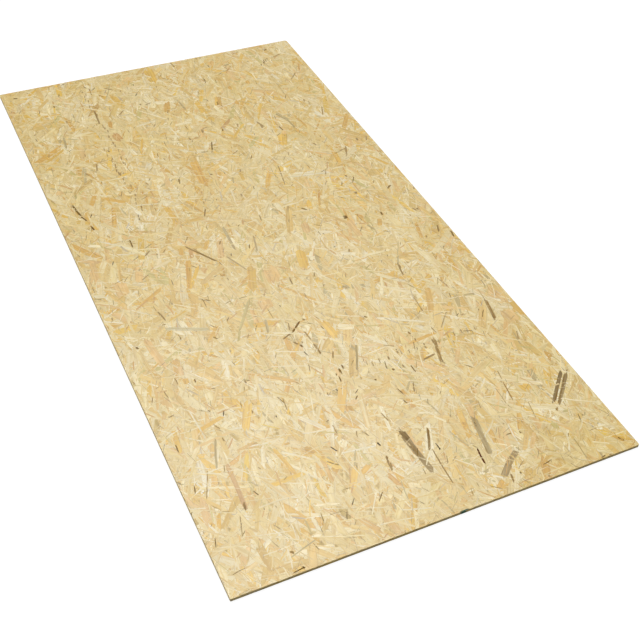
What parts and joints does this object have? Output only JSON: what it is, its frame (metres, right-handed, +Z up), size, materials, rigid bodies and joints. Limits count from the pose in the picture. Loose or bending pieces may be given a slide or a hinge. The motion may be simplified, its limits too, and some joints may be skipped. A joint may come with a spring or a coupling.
{
  "type": "oriented strand board sheet",
  "caption": "Flat rectangular sheet of pressed wood strands with square sawn edges, for flooring, sheathing and decking.",
  "frame": {"origin": "middle of the underside", "axes": "+Y along the sheet away from its near short edge, +X across it to the right, +Z up out of the top face"},
  "size_m": [1.25, 2.5, 0.01],
  "materials": {
    "strand_board": "pressed strands, unsanded, matt"
  },
  "bodies": {
    "root": {"osb_sheet": "strand_board"}
  },
  "joints": []
}
